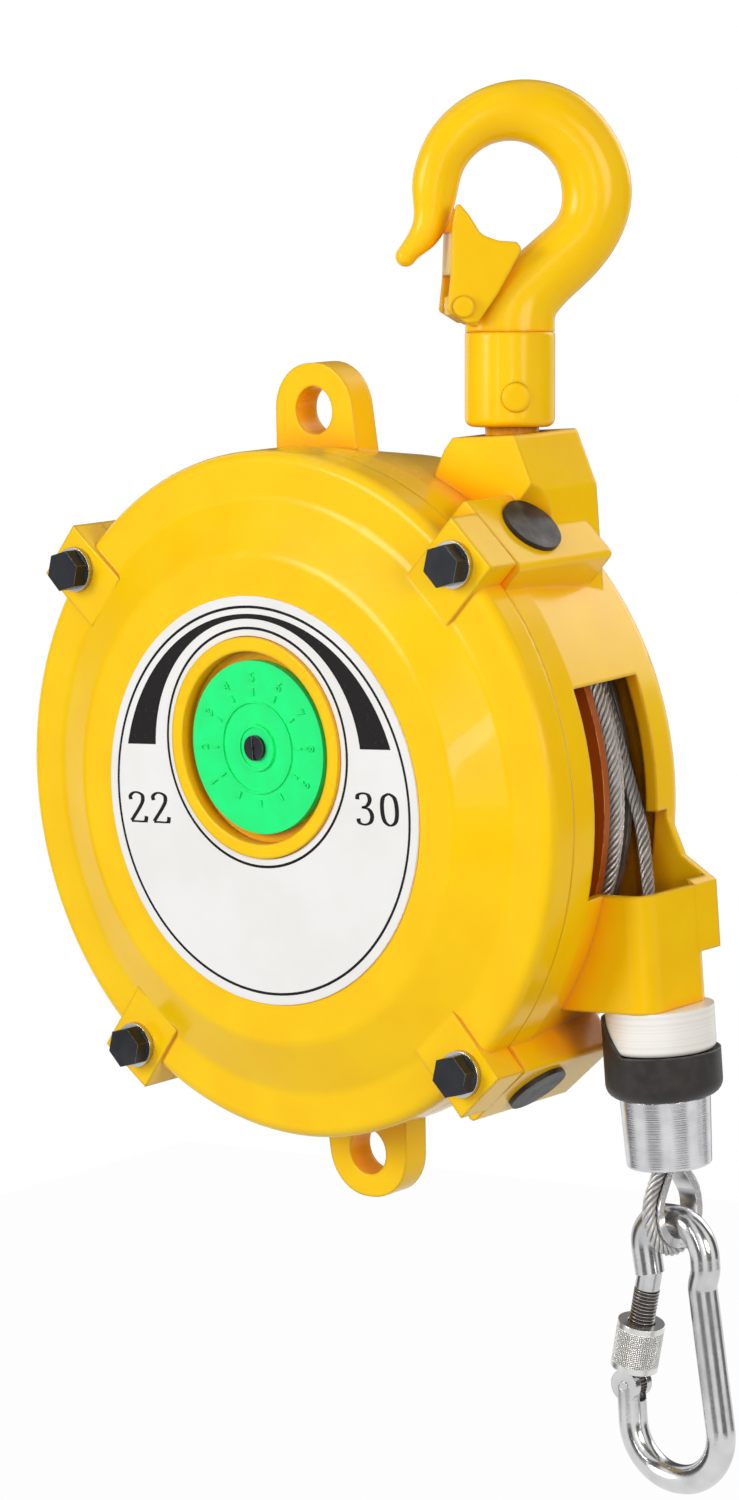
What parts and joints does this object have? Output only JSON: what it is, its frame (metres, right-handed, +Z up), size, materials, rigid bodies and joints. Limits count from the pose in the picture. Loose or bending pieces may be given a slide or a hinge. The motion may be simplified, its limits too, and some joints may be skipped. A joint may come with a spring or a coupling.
{
  "type": "spring balancer",
  "caption": "Round spring balancer with a swivelling safety hook, a tensioned rope drum in a cast case, a load dial, a rope guide and a locking snap hook for the tool.",
  "frame": {"origin": "seat of the top hook's bowl, where the balancer hangs", "axes": "+Z up along the hanging direction, +Y from the front cover to the gear cover behind, +X to the rope side"},
  "size_m": [0.2594, 0.1205, 0.4843],
  "materials": {
    "yellow_paint": "gloss enamel",
    "plate_white": "smooth printed sheet",
    "dial_green": "moulded, slightly textured",
    "zinc": "zinc plated",
    "dark_steel": "dark, oiled",
    "machined_steel": "turned",
    "spring_steel": "blued strip",
    "rope_steel": "galvanised strands",
    "bronze": "turned bearing bronze",
    "drum_cast": "as cast",
    "black_rubber": "matt",
    "nylon_white": "semi matt nylon",
    "alloy_sleeve": "turned"
  },
  "bodies": {
    "case": {"case_shell": "yellow_paint", "front_cover": "yellow_paint", "cover_bolts": "dark_steel", "cover_washers": "zinc", "scale_plate": "plate_white", "bore_plugs": "black_rubber", "gear_plug": "black_rubber", "rope_guide": "nylon_white", "cover_bush": "bronze", "case_bush": "bronze", "rear_cover": "yellow_paint", "rear_screws": "zinc", "worm_bushes": "bronze", "rope_lead": "rope_steel", "thrust_washer": "bronze", "dial_screw": "dark_steel"},
    "load_dial": {"dial_disc": "dial_green"},
    "tension_shaft": {"mandrel_shaft": "machined_steel", "worm_wheel": "bronze", "wheel_nut": "zinc"},
    "tension_worm": {"worm_shaft": "machined_steel"},
    "drum": {"rope_drum": "drum_cast", "drum_bushes": "bronze", "power_spring": "spring_steel", "spring_cover": "zinc", "spring_cover_screws": "zinc", "rope_coil": "rope_steel", "rope_anchor": "machined_steel"},
    "stem": {"swivel_stem": "yellow_paint", "stem_nut": "zinc"},
    "hook": {"hook_socket": "yellow_paint", "hook_forging": "yellow_paint", "socket_pin": "yellow_paint", "latch_rivet": "yellow_paint"},
    "latch": {"latch_plate": "yellow_paint", "latch_spring": "spring_steel"},
    "rope_end": {"rope_run": "rope_steel", "rope_bumper": "black_rubber", "rope_sleeve": "alloy_sleeve", "thimble": "zinc", "rope_loop": "rope_steel"},
    "snap_hook": {"snap_body": "zinc", "gate_pin": "zinc"},
    "gate": {"gate_bar": "dark_steel"},
    "lock_ring": {"lock_sleeve": "zinc"}
  },
  "joints": [
    {"name": "dial_turn", "type": "hinge", "parent": "case", "child": "load_dial", "pos_m": [-0.0766, -0.0644, -0.19979], "axis": [0, 1, 0], "range_deg": [-90, 90]},
    {"name": "tension_turn", "type": "hinge", "parent": "case", "child": "tension_shaft", "pos_m": [-0.0766, -0.0044, -0.21839], "axis": [0, 1, 0], "range_deg": [-180, 180]},
    {"name": "worm_turn", "type": "hinge", "parent": "case", "child": "tension_worm", "pos_m": [-0.00824, 0.0406, -0.18296], "axis": [0.4602, 0, -0.8878], "range_deg": [-12700, 12700]},
    {"name": "drum_turn", "type": "hinge", "parent": "case", "child": "drum", "pos_m": [-0.0766, -0.0044, -0.21839], "axis": [0, 1, 0], "range_deg": [0, 859.4], "stiffness_Nm_per_rad": 0.35, "springref_deg": -1718.87},
    {"name": "hook_swivel", "type": "hinge", "parent": "case", "child": "stem", "pos_m": [-0.0041, -0.0044, -0.10839], "axis": [0, 0, 1], "continuous": true},
    {"name": "hook_lean", "type": "hinge", "parent": "stem", "child": "hook", "pos_m": [-0.0041, -0.0044, -0.08599], "axis": [-0.7314, 0.682, 0], "range_deg": [-10, 2]},
    {"name": "latch_swing", "type": "hinge", "parent": "hook", "child": "latch", "pos_m": [-0.01456, -0.01562, -0.05444], "axis": [-0.7314, 0.682, 0], "range_deg": [0, 30], "stiffness_Nm_per_rad": 0.02, "springref_deg": -68.75},
    {"name": "rope_pull", "type": "slide", "parent": "case", "child": "rope_end", "axis": [0, 0, -1], "range_m": [0, 1.5], "deforming": ["rope_run"]},
    {"name": "snap_swing", "type": "hinge", "parent": "rope_end", "child": "snap_hook", "pos_m": [0.0428, -0.0044, -0.37979], "axis": [0, 1, 0], "range_deg": [-35, 35]},
    {"name": "gate_swing", "type": "hinge", "parent": "snap_hook", "child": "gate", "pos_m": [0.0202, -0.0044, -0.42739], "axis": [0, 1, 0], "range_deg": [0, 21], "stiffness_Nm_per_rad": 0.03, "springref_deg": -45.84},
    {"name": "lock_slide", "type": "slide", "parent": "gate", "child": "lock_ring", "axis": [0.2672, 0, 0.9636], "range_m": [0, 0.014]}
  ],
  "couplings": [
    {"joint": "worm_turn", "follows": "tension_turn", "ratio": -70},
    {"joint": "rope_pull", "follows": "drum_turn", "m_per_rad": 0.1}
  ]
}
